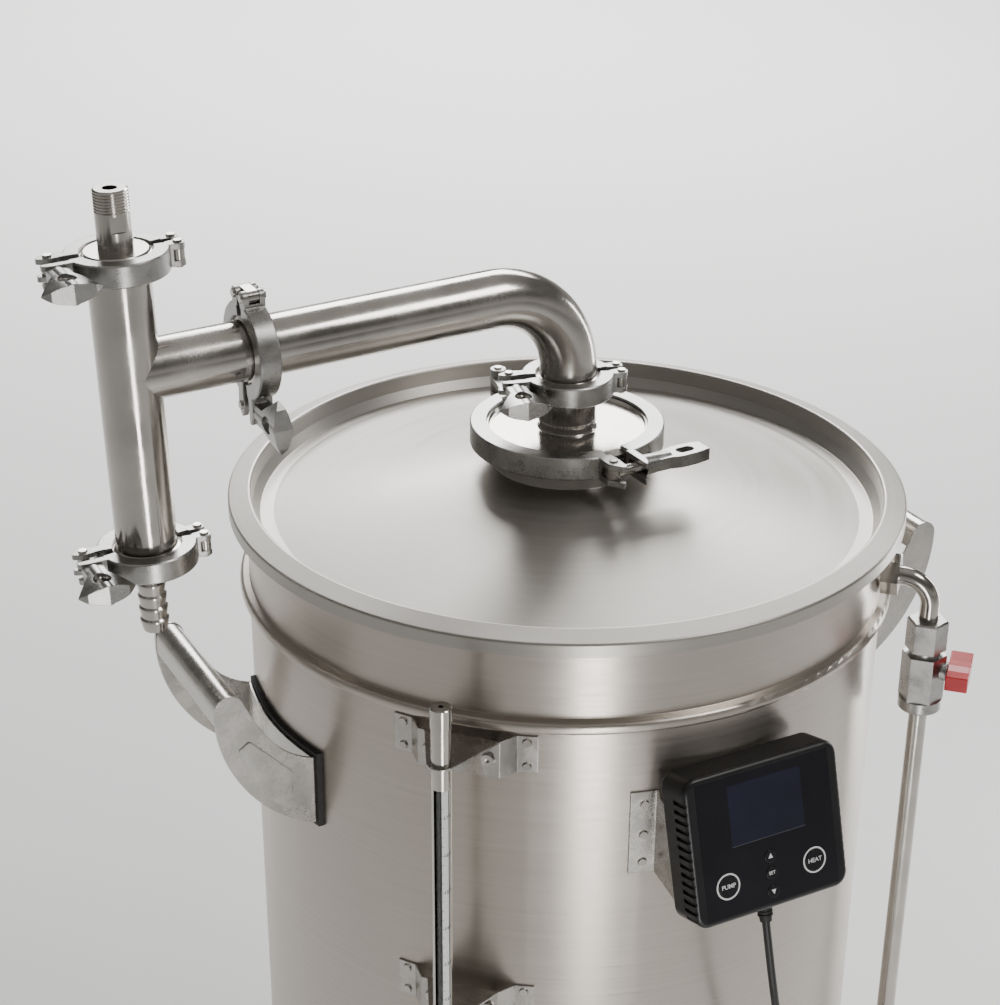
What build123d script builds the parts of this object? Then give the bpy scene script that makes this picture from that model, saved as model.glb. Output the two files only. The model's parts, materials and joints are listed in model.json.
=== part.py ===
from build123d import *
from math import cos, pi, radians, sin, sqrt, tan
import os

os.makedirs("parts", exist_ok=True)

# ---------------------------------------------------------------- driving dimensions (mm)
# The kettle stands on z = 0 with its axis on Z, and its controller faces -Y.
rim_height = 735.0          # floor to the outer corner of the lid's rim
body_radius = 218.6         # outside of the kettle wall below the bead
band_radius = 218.0         # outside of the wall between bead and rim
kettle_sheet = 0.9
kettle_bottom = 148.0       # underside of the kettle's bottom
bead_top = rim_height - 58.5
bead_height = 8.5
bead_radius = 224.0
kettle_top = rim_height - 4.0
lid_sheet = 1.0
lid_hem = 9.0
base_radius = 217.0
base_floor = 16.0           # underside of the base plate

tube_radius = 19.05         # 1.5 inch tube
tube_wall = 1.5
ferrule_radius = 25.25      # 1.5 inch clamp ferrule
ferrule_edge = 2.85         # thickness of a ferrule's flange at its rim
bevel = 20.0                # degrees, back face of a clamp ferrule
gasket = 2.0
collar_tube_radius = 50.8   # 4 inch tube
collar_ferrule_radius = 59.5

collar_face = rim_height + 36.3     # top face of the lid's 4 inch ferrule
spool_face = rim_height + 71.2      # top face of the reducer's 1.5 inch ferrule
elbow_radius = 57.15
elbow_foot = rim_height + 83.2      # where the elbow's bend starts
arm_fall = 1.45                     # degrees, the arm drains down towards the column
pipe_run = 243.5                    # elbow end to column axis
arm_clamp_place = 79.0              # column axis to the arm clamp
column_above = 71.1                 # pipe axis to the upper clamp
column_below = 120.3                # pipe axis to the lower clamp

sight_angle = -135.7        # degrees about Z
sight_radius = 260.0        # kettle axis to the sight tube's axis
guard_radius = 6.35
bracket_tops = [rim_height - 70.6, rim_height - 260.3, rim_height - 450.0]
bracket_height = 26.0

return_angle = -45.0        # recirculation line, degrees about Z
return_radius = 252.0
return_tube = 6.35
return_bore = 5.0
return_port = rim_height - 36.6
return_bend = 19.0
return_valve = rim_height - 104.0

lean = 16.0                 # degrees, the controller's face looks up by this much
panel_centre = (0, -258.5, rim_height - 134.0)
case_width = 113.0
case_height = 97.0
case_depth = 27.0
window_width = 97.0
window_height = 88.0

running_gap = 0.05          # radial clearance of a shaft in its hole
clear = 0.3                 # gap between curved faces that move past each other

down_the_arm = Vector(-cos(radians(arm_fall)), 0, -sin(radians(arm_fall)))
up_the_column = Vector(-sin(radians(arm_fall)), 0, cos(radians(arm_fall)))
elbow_end = Vector(-elbow_radius, 0, elbow_foot) + up_the_column * elbow_radius
column_origin = elbow_end + down_the_arm * pipe_run
column_frame = Plane(column_origin, x_dir=down_the_arm * -1, z_dir=up_the_column)
panel_frame = Plane(
    panel_centre, x_dir=(1, 0, 0), z_dir=(0, -cos(radians(lean)), sin(radians(lean)))
)


def about_z(angle, radius=0.0, height=0.0):
    """A plane on the kettle's axis system: x runs outwards at this angle, z stays up."""
    a = radians(angle)
    return Plane((radius * cos(a), radius * sin(a), height), x_dir=(cos(a), sin(a), 0), z_dir=(0, 0, 1))


def outward(angle, radius, height):
    """A plane facing outwards at this angle, with its y axis up."""
    a = radians(angle)
    return Plane(
        (radius * cos(a), radius * sin(a), height),
        x_dir=(-sin(a), cos(a), 0),
        z_dir=(cos(a), sin(a), 0),
    )


# ---------------------------------------------------------------- fastener seats
rivet_radius = 1.6
screw_radius = 2.4
rivet_seats = []
for top in bracket_tops:
    for spread in (-10.5, 10.5):
        for drop in (4.5, bracket_height - 4.5):
            rivet_seats.append(outward(sight_angle + spread, body_radius, top - drop))
for rivet_angle in (-90 - 16.0, -90 + 16.0):
    for rivet_height in (614, 591.5, 571):
        rivet_seats.append(outward(rivet_angle, body_radius, rivet_height))
handle_seats = []
for handle_angle in (180, 0):
    for spread in (-6.5, 6.5):
        handle_seats.append(outward(handle_angle + spread, body_radius, rim_height - 156))

# ---------------------------------------------------------------- kettle
with BuildPart() as kettle:
    mid = kettle_sheet / 2
    bead_mid = bead_radius - mid
    with BuildSketch(Plane.XZ):
        with BuildLine():
            FilletPolyline(
                (0, kettle_bottom + mid),
                (body_radius - mid, kettle_bottom + mid),
                (body_radius - mid, bead_top - bead_height - 0.5),
                (bead_mid + 0.6, bead_top - bead_height + 1.2),
                (bead_mid + 0.6, bead_top - 1.2),
                (band_radius - mid, bead_top + 0.3),
                (band_radius - mid, kettle_top - mid),
                (band_radius + 7, kettle_top - mid),
                (band_radius + 7, kettle_top - 6),
                (band_radius + 2.5, kettle_top - 6),
                radius=[7, 1.6, 2.8, 2.8, 0.8, 1.5, 1.5, 1.5],
            )
        trace(line_width=kettle_sheet)
    revolve(axis=Axis.Z)
    for port_angle, port_height, port_radius in (
        (-90, kettle_bottom + 30, 10.5),
        (sight_angle, kettle_bottom + 28, 6.6),
        (return_angle, return_port, 9.0),
    ):
        with BuildSketch(outward(port_angle, body_radius - 15, port_height)):
            Circle(port_radius)
        extrude(amount=30, mode=Mode.SUBTRACT)
    with BuildSketch(about_z(return_angle, 134, kettle_bottom - 5)):
        Circle(7.0)
    extrude(amount=10, mode=Mode.SUBTRACT)
    for seat in rivet_seats:
        with BuildSketch(seat.offset(-4)):
            Circle(rivet_radius)
        extrude(amount=8, mode=Mode.SUBTRACT)
    for seat in handle_seats:
        with BuildSketch(seat.offset(-4)):
            Circle(screw_radius + running_gap)
        extrude(amount=8, mode=Mode.SUBTRACT)
kettle.part.label = "kettle"
export_step(kettle.part, "parts/kettle.step")

# ---------------------------------------------------------------- base
hood_angle = -70.0          # where the controller's cable enters the base
hood_top = 136.0
inlet_height = 72.0
outlet_height = 53.0        # pump outlet and the foot of the return pipe
skirt = 1.5

with BuildPart() as base_housing:
    with BuildSketch(Plane.XY.offset(base_floor)):
        Circle(base_radius)
        Circle(base_radius - skirt, mode=Mode.SUBTRACT)
    extrude(amount=kettle_bottom - base_floor - 1)
    with BuildSketch(Plane.XY.offset(kettle_bottom - 2.5)):
        Circle(base_radius - skirt / 2)
        Circle(195, mode=Mode.SUBTRACT)
    extrude(amount=1.5)
    with BuildSketch(Plane.XY.offset(kettle_bottom - 1.0)):
        Circle(208)
        Circle(195, mode=Mode.SUBTRACT)
    extrude(amount=1.0)
    with BuildSketch(about_z(hood_angle, 0, hood_top - 34)):
        with Locations((base_radius + 4, 0)):
            RectangleRounded(32, 28, 5)
        Circle(base_radius - skirt / 2, mode=Mode.SUBTRACT)
    extrude(amount=34)
    with BuildSketch(about_z(hood_angle, base_radius + 9, hood_top - 12)):
        Circle(3.4)
    extrude(amount=12, mode=Mode.SUBTRACT)
    for side in (130, 155, 180, 25, 0, 50):
        for row in range(5):
            with BuildSketch(outward(side, base_radius - 8, 40 + 14 * row)):
                SlotOverall(46, 4)
            extrude(amount=16, mode=Mode.SUBTRACT)
    with BuildSketch(outward(return_angle, base_radius - 8, outlet_height)):
        Circle(return_tube + 1.5)
    extrude(amount=16, mode=Mode.SUBTRACT)
    with BuildSketch(outward(90, base_radius - 8, inlet_height)):
        Rectangle(40.4, 30.4)
    extrude(amount=16, mode=Mode.SUBTRACT)
base_housing.part.label = "base_housing"
export_step(base_housing.part, "parts/base_housing.step")

with BuildPart() as base_plate:
    with BuildSketch(Plane.XY.offset(base_floor)):
        Circle(base_radius - skirt - 0.2)
    extrude(amount=3)
    with BuildSketch(Plane.XY.offset(base_floor + 3)):
        Circle(base_radius - skirt - 0.2)
        Circle(base_radius - skirt - 2.7, mode=Mode.SUBTRACT)
    extrude(amount=9)
base_plate.part.label = "base_plate"
export_step(base_plate.part, "parts/base_plate.step")

with BuildPart() as feet:
    with BuildSketch():
        with PolarLocations(175, 4, start_angle=45):
            Circle(22)
    extrude(amount=base_floor)
    chamfer(feet.edges().group_by(Axis.Z)[0], 2)
feet.part.label = "feet"
export_step(feet.part, "parts/feet.step")

with BuildPart() as mains_inlet:
    with BuildSketch(outward(90, base_radius - 22, inlet_height)):
        Rectangle(40, 30)
    extrude(amount=23)
    with BuildSketch(outward(90, base_radius + 1, inlet_height)):
        RectangleRounded(48, 38, 4)
    extrude(amount=2.5)
    with BuildSketch(outward(90, base_radius + 3.5, inlet_height)):
        RectangleRounded(30, 22, 2)
    extrude(amount=-18, mode=Mode.SUBTRACT)
    with BuildSketch(outward(90, base_radius - 15, inlet_height)):
        with Locations((-8, -3), (8, -3), (0, 4)):
            Rectangle(2, 6)
    extrude(amount=14)
mains_inlet.part.label = "mains_inlet"
export_step(mains_inlet.part, "parts/mains_inlet.step")

with BuildPart() as heating_element:
    with BuildSketch(Plane.XY.offset(kettle_bottom - 3)):
        Circle(115)
    extrude(amount=3)
    for ring_radius in (60, 92):
        with BuildSketch(Plane.XY.offset(kettle_bottom - 11)):
            Circle(ring_radius + 4.5)
            Circle(ring_radius - 4.5, mode=Mode.SUBTRACT)
        extrude(amount=8)
heating_element.part.label = "heating_element"
export_step(heating_element.part, "parts/heating_element.step")

pump_reach = 134.0
volute_floor = 40.0
with BuildPart() as pump_body:
    with BuildSketch(about_z(return_angle, pump_reach, base_floor + 6)):
        Circle(34)
    extrude(amount=volute_floor - base_floor - 6)
    with BuildSketch(about_z(return_angle, pump_reach, volute_floor)):
        Circle(40)
    extrude(amount=26)
    with BuildSketch(outward(return_angle, pump_reach + 30, outlet_height)):
        Circle(9)
    extrude(amount=36)
    with BuildSketch(about_z(return_angle, pump_reach, volute_floor + 26)):
        Circle(9)
    extrude(amount=kettle_bottom - volute_floor - 26)
    with BuildSketch(about_z(return_angle, pump_reach, volute_floor + 5)):
        Circle(34)
        Circle(3, mode=Mode.SUBTRACT)
    extrude(amount=16, mode=Mode.SUBTRACT)
    with BuildSketch(about_z(return_angle, pump_reach, volute_floor + 20.5)):
        Circle(7)
    extrude(amount=kettle_bottom - volute_floor - 20.5, mode=Mode.SUBTRACT)
    with BuildSketch(outward(return_angle, pump_reach + 33, outlet_height)):
        Circle(5)
    extrude(amount=33, mode=Mode.SUBTRACT)
pump_body.part.label = "pump_body"
export_step(pump_body.part, "parts/pump_body.step")

with BuildPart() as pump_impeller:
    with BuildSketch(about_z(return_angle, pump_reach, volute_floor + 6)):
        Circle(30)
    extrude(amount=3)
    with BuildSketch(about_z(return_angle, pump_reach, volute_floor + 9)):
        Circle(7)
        with PolarLocations(17, 6):
            Rectangle(22, 2.2)
    extrude(amount=9)
    with BuildSketch(about_z(return_angle, pump_reach, volute_floor)):
        Circle(3 + running_gap)
    extrude(amount=30, mode=Mode.SUBTRACT)
pump_impeller.part.label = "pump_impeller"
export_step(pump_impeller.part, "parts/pump_impeller.step")

# ---------------------------------------------------------------- drain valve
drain_height = kettle_bottom + 30
drain_centre = 252.0        # kettle axis to the ball's centre
ball_radius = 12.0
stem_radius = 4.0
drain_face = Plane((0, -205, drain_height), x_dir=(1, 0, 0), z_dir=(0, -1, 0))

with BuildPart() as drain_valve_body:
    with BuildSketch(drain_face):
        Circle(10.2)
    extrude(amount=18)
    with BuildSketch(drain_face.offset(14.5)):
        RegularPolygon(15, 6, major_radius=False)
    extrude(amount=7)
    with BuildSketch(drain_face.offset(21)):
        Circle(17)
    extrude(amount=60)
    with BuildSketch(drain_face.offset(81)):
        Circle(10.5)
    extrude(amount=15)
    with BuildSketch(Plane((0, -drain_centre, drain_height))):
        Circle(9)
    extrude(amount=23)
    with BuildSketch(drain_face):
        Circle(7.5)
    extrude(amount=96, mode=Mode.SUBTRACT)
    with Locations((0, -drain_centre, drain_height)):
        Sphere(ball_radius + clear, mode=Mode.SUBTRACT)
    with BuildSketch(Plane((0, -drain_centre, drain_height))):
        Circle(stem_radius + running_gap)
    extrude(amount=30, mode=Mode.SUBTRACT)
    chamfer(drain_valve_body.faces().sort_by(Axis.Y)[0].outer_wire().edges(), 1)
drain_valve_body.part.label = "drain_valve_body"
export_step(drain_valve_body.part, "parts/drain_valve_body.step")

with BuildPart() as drain_valve_ball:
    with Locations((0, -drain_centre, drain_height)):
        Sphere(ball_radius)
    with BuildSketch(Plane((0, -drain_centre, drain_height))):
        Circle(stem_radius)
    extrude(amount=30)
    with BuildSketch(Plane((-20, -drain_centre, drain_height), x_dir=(0, 1, 0), z_dir=(1, 0, 0))):
        Circle(7)
    extrude(amount=40, mode=Mode.SUBTRACT)
drain_valve_ball.part.label = "drain_valve_ball"
export_step(drain_valve_ball.part, "parts/drain_valve_ball.step")

lever_height = drain_height + 23.5
with BuildPart() as drain_valve_lever:
    with BuildSketch(Plane((0, -drain_centre, lever_height))):
        with Locations((-30, 0)):
            SlotOverall(82, 15)
        Circle(stem_radius + running_gap, mode=Mode.SUBTRACT)
    extrude(amount=2.5)
    with BuildSketch(Plane((0, -drain_centre, lever_height + 2.5))):
        with Locations((-48, 0)):
            SlotOverall(50, 17)
    extrude(amount=3.5)
    with BuildSketch(Plane((0, -drain_centre, lever_height + 2.5))):
        RegularPolygon(6.5, 6, major_radius=False)
        Circle(stem_radius + running_gap, mode=Mode.SUBTRACT)
    extrude(amount=4)
    fillet(drain_valve_lever.faces().filter_by(Axis.Z).sort_by(Axis.Z)[-2].edges(), 1.2)
drain_valve_lever.part.label = "drain_valve_lever"
export_step(drain_valve_lever.part, "parts/drain_valve_lever.step")

# ---------------------------------------------------------------- recirculation line
return_plane = about_z(return_angle)
return_side = Plane(return_plane.origin, x_dir=return_plane.x_dir, z_dir=-return_plane.y_dir)
nut_start = 219.0
nut_end = 230.5
union_foot = rim_height - 88.0
union_top = rim_height - 66.0
stub_top = rim_height - 77.0

with BuildPart() as return_elbow:
    with BuildLine(return_side) as return_path:
        turn = return_radius - return_bend
        inlet_run = Line((206, return_port), (turn, return_port))
        bend = RadiusArc(inlet_run @ 1, (return_radius, return_port - return_bend), return_bend)
        Line(bend @ 1, (return_radius, stub_top))
    with BuildSketch(Plane(return_path.line @ 0, z_dir=return_path.line % 0)):
        Circle(return_tube)
    sweep()
    with BuildSketch(outward(return_angle, nut_start, return_port)):
        RegularPolygon(12, 6, major_radius=False)
    extrude(amount=nut_end - nut_start)
    with BuildSketch(outward(return_angle, 206, return_port)):
        Circle(8.8)
    extrude(amount=nut_start - 206)
    with BuildSketch(Plane(return_path.line @ 0, z_dir=return_path.line % 0)):
        Circle(return_bore)
    sweep(path=return_path.line, mode=Mode.SUBTRACT)
return_elbow.part.label = "return_elbow"
export_step(return_elbow.part, "parts/return_elbow.step")

with BuildPart() as return_union_nut:
    with BuildSketch(about_z(return_angle, return_radius, union_foot)):
        RegularPolygon(12, 6, major_radius=False)
    extrude(amount=union_top - union_foot)
    chamfer(return_union_nut.faces().sort_by(Axis.Z)[-1].edges(), 1.0)
    with BuildSketch(about_z(return_angle, return_radius, union_foot)):
        Circle(return_tube + running_gap)
    extrude(amount=union_top - union_foot, mode=Mode.SUBTRACT)
    with BuildSketch(about_z(return_angle, return_radius, union_foot)):
        Circle(9.2 + running_gap)
    extrude(amount=stub_top - union_foot, mode=Mode.SUBTRACT)
return_union_nut.part.label = "return_union_nut"
export_step(return_union_nut.part, "parts/return_union_nut.step")

valve_top = rim_height - 91.6
valve_foot = rim_height - 125.0
collar_foot = rim_height - 133.5
small_ball = 8.0
small_stem = 3.0
with BuildPart() as return_valve_body:
    with BuildSketch(about_z(return_angle, return_radius, valve_foot)):
        RegularPolygon(13, 6, major_radius=False)
    extrude(amount=valve_top - valve_foot)
    with BuildSketch(about_z(return_angle, return_radius, valve_top)):
        Circle(10.5)
    extrude(amount=union_foot - valve_top - 0.2)
    with BuildSketch(about_z(return_angle, return_radius, valve_top)):
        Circle(9.2)
    extrude(amount=stub_top - valve_top)
    with BuildSketch(about_z(return_angle, return_radius, collar_foot)):
        Circle(14.6)
    extrude(amount=valve_foot - collar_foot)
    fillet(return_valve_body.edges().filter_by(GeomType.CIRCLE).group_by(Axis.Z)[0], 1.5)
    with BuildSketch(outward(return_angle, return_radius, return_valve)):
        Circle(6.5)
    extrude(amount=16)
    with BuildSketch(about_z(return_angle, return_radius, collar_foot)):
        Circle(return_bore)
    extrude(amount=stub_top - collar_foot, mode=Mode.SUBTRACT)
    with BuildSketch(about_z(return_angle, return_radius, collar_foot)):
        Circle(return_tube + running_gap)
    extrude(amount=8, mode=Mode.SUBTRACT)
    with Locations(about_z(return_angle, return_radius, return_valve).location):
        Sphere(small_ball + clear, mode=Mode.SUBTRACT)
    with BuildSketch(outward(return_angle, return_radius, return_valve)):
        Circle(small_stem + running_gap)
    extrude(amount=20, mode=Mode.SUBTRACT)
return_valve_body.part.label = "return_valve_body"
export_step(return_valve_body.part, "parts/return_valve_body.step")

with BuildPart() as return_valve_ball:
    with Locations(about_z(return_angle, return_radius, return_valve).location):
        Sphere(small_ball)
    with BuildSketch(outward(return_angle, return_radius, return_valve)):
        Circle(small_stem)
    extrude(amount=24)
    tangent_bore = Plane(
        about_z(return_angle, return_radius, return_valve).origin,
        x_dir=(0, 0, 1),
        z_dir=return_plane.y_dir,
    )
    with BuildSketch(tangent_bore.offset(-15)):
        Circle(4.6)
    extrude(amount=30, mode=Mode.SUBTRACT)
return_valve_ball.part.label = "return_valve_ball"
export_step(return_valve_ball.part, "parts/return_valve_ball.step")

wing_reach = 19.0
with BuildPart() as return_valve_lever:
    with BuildSketch(outward(return_angle, return_radius + 16.3, return_valve)):
        with BuildLine():
            Polyline((0, 5.5), (-7, 5), (-wing_reach, 7), (-wing_reach, -4), (-7, -5.5), (0, -6))
            mirror(about=Plane.YZ)
        make_face()
    extrude(amount=15)
    fillet(return_valve_lever.edges().filter_by(lambda e: e.length > 5), 0.9)
    with BuildSketch(outward(return_angle, return_radius + 16.3, return_valve)):
        Circle(small_stem + running_gap)
    extrude(amount=8, mode=Mode.SUBTRACT)
return_valve_lever.part.label = "return_valve_lever"
export_step(return_valve_lever.part, "parts/return_valve_lever.step")

with BuildPart() as return_pipe:
    with BuildLine(return_side) as drop_path:
        drop = Line((return_radius, collar_foot + 7.5), (return_radius, outlet_height + return_bend))
        toe = RadiusArc(drop @ 1, (return_radius - return_bend, outlet_height), return_bend)
        Line(toe @ 1, (200, outlet_height))
    with BuildSketch(Plane(drop_path.line @ 0, z_dir=drop_path.line % 0)):
        Circle(return_tube)
        Circle(return_bore, mode=Mode.SUBTRACT)
    sweep()
return_pipe.part.label = "return_pipe"
export_step(return_pipe.part, "parts/return_pipe.step")

# ---------------------------------------------------------------- handles
handle_arm = 55.0           # kettle axis plane to the outside of an arm
handle_sheet = 1.5
grip_reach = 271.8
grip_height = rim_height - 79.5
grip_radius = 10.1
channel_radius = 9.5


def make_handle(side):
    """One carrying handle: back plate, two arms and a folded grip between them."""
    flat = Plane((0, 0, 0), x_dir=(side, 0, 0), z_dir=(0, -side, 0))
    turned = about_z(0 if side > 0 else 180)
    low = rim_height - 180
    with BuildPart() as handle:
        with BuildSketch(Plane(turned.origin + (0, 0, low), x_dir=turned.x_dir)):
            Circle(223.8)
            Circle(222.3, mode=Mode.SUBTRACT)
            with Locations((222, 0)):
                Rectangle(40, 2 * handle_arm - 1, mode=Mode.INTERSECT)
        extrude(amount=50)
        with BuildSketch(flat.offset(-handle_arm)):
            with BuildLine():
                ThreePointArc(
                    (216.1, rim_height - 180.3),
                    (249.5, rim_height - 158.1),
                    (266.0, rim_height - 136.9),
                )
                ThreePointArc(
                    (266.0, rim_height - 136.9),
                    (278.6, rim_height - 107.5),
                    (grip_reach + grip_radius, grip_height),
                )
                ThreePointArc(
                    (grip_reach + grip_radius, grip_height),
                    (grip_reach, grip_height + grip_radius),
                    (grip_reach - 9.25, grip_height + 4.05),
                )
                ThreePointArc(
                    (grip_reach - 9.25, grip_height + 4.05),
                    (253.6, rim_height - 94.4),
                    (244.1, rim_height - 109.4),
                )
                ThreePointArc(
                    (244.1, rim_height - 109.4),
                    (232.2, rim_height - 121.8),
                    (216.1, rim_height - 130.1),
                )
                Line((216.1, rim_height - 130.1), (216.1, rim_height - 180.3))
            make_face()
        extrude(amount=handle_sheet)
        with BuildSketch(flat.offset(-handle_arm)):
            with BuildLine():
                FilletPolyline(
                    (259.5, rim_height - 105.3),
                    (267.2, rim_height - 110.4),
                    (262.8, rim_height - 123.0),
                    (248.7, rim_height - 141.0),
                    (235.7, rim_height - 153.5),
                    (232.0, rim_height - 152.5),
                    (231.2, rim_height - 135.8),
                    radius=2.2,
                    close=True,
                )
            make_face()
        extrude(amount=-1.0)
        mirror(about=Plane.XZ)
        with BuildSketch(flat.offset(-handle_arm + 0.5)):
            with Locations((grip_reach, grip_height)):
                Circle(channel_radius)
            with Locations((grip_reach, grip_height - 5)):
                Rectangle(2 * channel_radius, 10)
            with Locations((grip_reach, grip_height)):
                Circle(channel_radius - handle_sheet, mode=Mode.SUBTRACT)
            with Locations((grip_reach, grip_height - 5)):
                Rectangle(2 * (channel_radius - handle_sheet), 10, mode=Mode.SUBTRACT)
        extrude(amount=2 * handle_arm - 1)
        for seat in handle_seats:
            with BuildSketch(seat):
                Circle(screw_radius + running_gap)
            extrude(amount=10, mode=Mode.SUBTRACT)
    return handle.part


right_handle = make_handle(1)
right_handle.label = "right_handle"
export_step(right_handle, "parts/right_handle.step")

left_handle = make_handle(-1)
left_handle.label = "left_handle"
export_step(left_handle, "parts/left_handle.step")

with BuildPart() as handle_pads:
    for pad_angle in (0, 180):
        with BuildSketch(about_z(pad_angle, 0, rim_height - 183)):
            Circle(222.25)
            Circle(body_radius + 0.05, mode=Mode.SUBTRACT)
            with Locations((222, 0)):
                Rectangle(40, 114, mode=Mode.INTERSECT)
        extrude(amount=56)
    for seat in handle_seats:
        with BuildSketch(seat):
            Circle(screw_radius + running_gap)
        extrude(amount=10, mode=Mode.SUBTRACT)
handle_pads.part.label = "handle_pads"
export_step(handle_pads.part, "parts/handle_pads.step")

# ---------------------------------------------------------------- sight glass
sight_foot = 199.0
sight_bend = kettle_bottom + 28
cap_bottom = rim_height - 46.0
cap_top = rim_height - 32.0
slot_facing = -118.0
slot_half = 58.0
slot_top = 647.6
slot_bottom = 214.0
sight_axis = about_z(sight_angle, sight_radius)

with BuildPart() as sight_guard:
    with BuildSketch(Plane(sight_axis.origin + (0, 0, sight_foot))):
        Circle(guard_radius)
    extrude(amount=cap_bottom - sight_foot)
    with BuildSketch(Plane(sight_axis.origin + (0, 0, cap_bottom))):
        Circle(guard_radius + 0.4)
    extrude(amount=cap_top - cap_bottom)
    chamfer(sight_guard.edges().group_by(Axis.Z)[-1], 0.6)
    with BuildSketch(Plane(sight_axis.origin + (0, 0, sight_foot))):
        Circle(guard_radius - 0.9)
    extrude(amount=cap_bottom - sight_foot + 4, mode=Mode.SUBTRACT)
    with BuildSketch(Plane(sight_axis.origin + (0, 0, cap_bottom))):
        Circle(1.6)
    extrude(amount=cap_top - cap_bottom, mode=Mode.SUBTRACT)
    toward = radians(slot_facing)
    with BuildSketch(
        Plane(
            sight_axis.origin + (0, 0, slot_bottom),
            x_dir=(cos(toward), sin(toward), 0),
            z_dir=(0, 0, 1),
        )
    ):
        reach = 20 * cos(radians(slot_half))
        rise = 20 * sin(radians(slot_half))
        Polygon((0, 0), (reach, -rise), (reach, rise), align=None)
    extrude(amount=slot_top - slot_bottom, mode=Mode.SUBTRACT)
sight_guard.part.label = "sight_guard"
export_step(sight_guard.part, "parts/sight_guard.step")

with BuildPart() as sight_glass:
    with BuildSketch(Plane(sight_axis.origin + (0, 0, sight_foot - 12))):
        Circle(4.5)
        Circle(3.2, mode=Mode.SUBTRACT)
    extrude(amount=cap_bottom - sight_foot + 14)
sight_glass.part.label = "sight_glass"
export_step(sight_glass.part, "parts/sight_glass.step")

with BuildPart() as sight_elbow:
    with BuildSketch(Plane(sight_axis.origin + (0, 0, sight_bend - 10))):
        Circle(9)
    extrude(amount=sight_foot - sight_bend + 10)
    with BuildSketch(outward(sight_angle, body_radius - 13, sight_bend)):
        Circle(6.5)
    extrude(amount=sight_radius - body_radius + 13)
    with BuildSketch(outward(sight_angle, body_radius + 0.6, sight_bend)):
        RegularPolygon(10, 6, major_radius=False)
    extrude(amount=9)
    with BuildSketch(Plane(sight_axis.origin + (0, 0, sight_bend - 5))):
        Circle(3.2)
    extrude(amount=40, mode=Mode.SUBTRACT)
    with BuildSketch(outward(sight_angle, body_radius - 13, sight_bend)):
        Circle(2.6)
    extrude(amount=sight_radius - body_radius + 13.5, mode=Mode.SUBTRACT)
    with BuildSketch(Plane(sight_axis.origin + (0, 0, sight_foot - 12))):
        Circle(4.5 + running_gap)
    extrude(amount=30, mode=Mode.SUBTRACT)
sight_elbow.part.label = "sight_elbow"
export_step(sight_elbow.part, "parts/sight_elbow.step")

bracket_sheet = 1.2
plate_reach = 227.5
flange_mid = body_radius + 0.05 + bracket_sheet / 2
screw_heads = []


def on_wall(offset):
    """Point on the middle of a bracket flange, this far sideways."""
    return (sqrt(flange_mid**2 - offset**2), offset)


with BuildPart() as sight_brackets:
    for top in bracket_tops:
        with BuildSketch(about_z(sight_angle, 0, top - bracket_height)):
            with BuildLine():
                ThreePointArc(on_wall(-46.5), on_wall(-40), on_wall(-34))
                Polyline(on_wall(-34), (plate_reach, -26), (plate_reach, 26), on_wall(34))
                ThreePointArc(on_wall(34), on_wall(40), on_wall(46.5))
            trace(line_width=bracket_sheet)
        extrude(amount=bracket_height)
        with BuildSketch(about_z(sight_angle, 0, top - bracket_sheet)):
            with Locations((plate_reach, 2)):
                Rectangle(bracket_sheet, 48)
            with Locations((sight_radius, 0)):
                Circle(9)
            make_hull()
            with Locations((sight_radius, 0)):
                Circle(guard_radius + 0.1, mode=Mode.SUBTRACT)
        extrude(amount=bracket_sheet)
        for aside in (-19, 19):
            face = outward(sight_angle, 0, top - bracket_height / 2)
            seat = Plane(
                face.origin + face.z_dir * (plate_reach + bracket_sheet / 2) + face.x_dir * aside,
                x_dir=face.x_dir,
                z_dir=face.z_dir,
            )
            screw_heads.append(seat)
            with BuildSketch(seat.offset(-4)):
                Circle(screw_radius + running_gap)
            extrude(amount=8, mode=Mode.SUBTRACT)
    for seat in rivet_seats[:12]:
        with BuildSketch(seat.offset(-1)):
            Circle(rivet_radius)
        extrude(amount=4, mode=Mode.SUBTRACT)
sight_brackets.part.label = "sight_brackets"
export_step(sight_brackets.part, "parts/sight_brackets.step")

for seat in handle_seats:
    screw_heads.append(seat.offset(223.85 - body_radius))

with BuildPart() as screws:
    for seat in screw_heads:
        with BuildSketch(seat):
            Circle(4.5)
        extrude(amount=2.4, taper=12)
        with BuildSketch(seat):
            Circle(screw_radius)
        extrude(amount=-7)
        with BuildSketch(seat.offset(2.4)):
            RegularPolygon(1.7, 6)
        extrude(amount=-1.5, mode=Mode.SUBTRACT)
screws.part.label = "screws"
export_step(screws.part, "parts/screws.step")

# ---------------------------------------------------------------- controller
round_button = 7.0
small_button = 4.2
button_places = {
    "pump_button": ((-32.0, -25.0), round_button),
    "heat_button": ((32.0, -25.5), round_button),
    "up_button": ((0.0, -14.0), small_button),
    "set_button": ((0.0, -25.0), small_button),
    "down_button": ((0.0, -37.0), small_button),
}
window_sheet = 2.0

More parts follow.
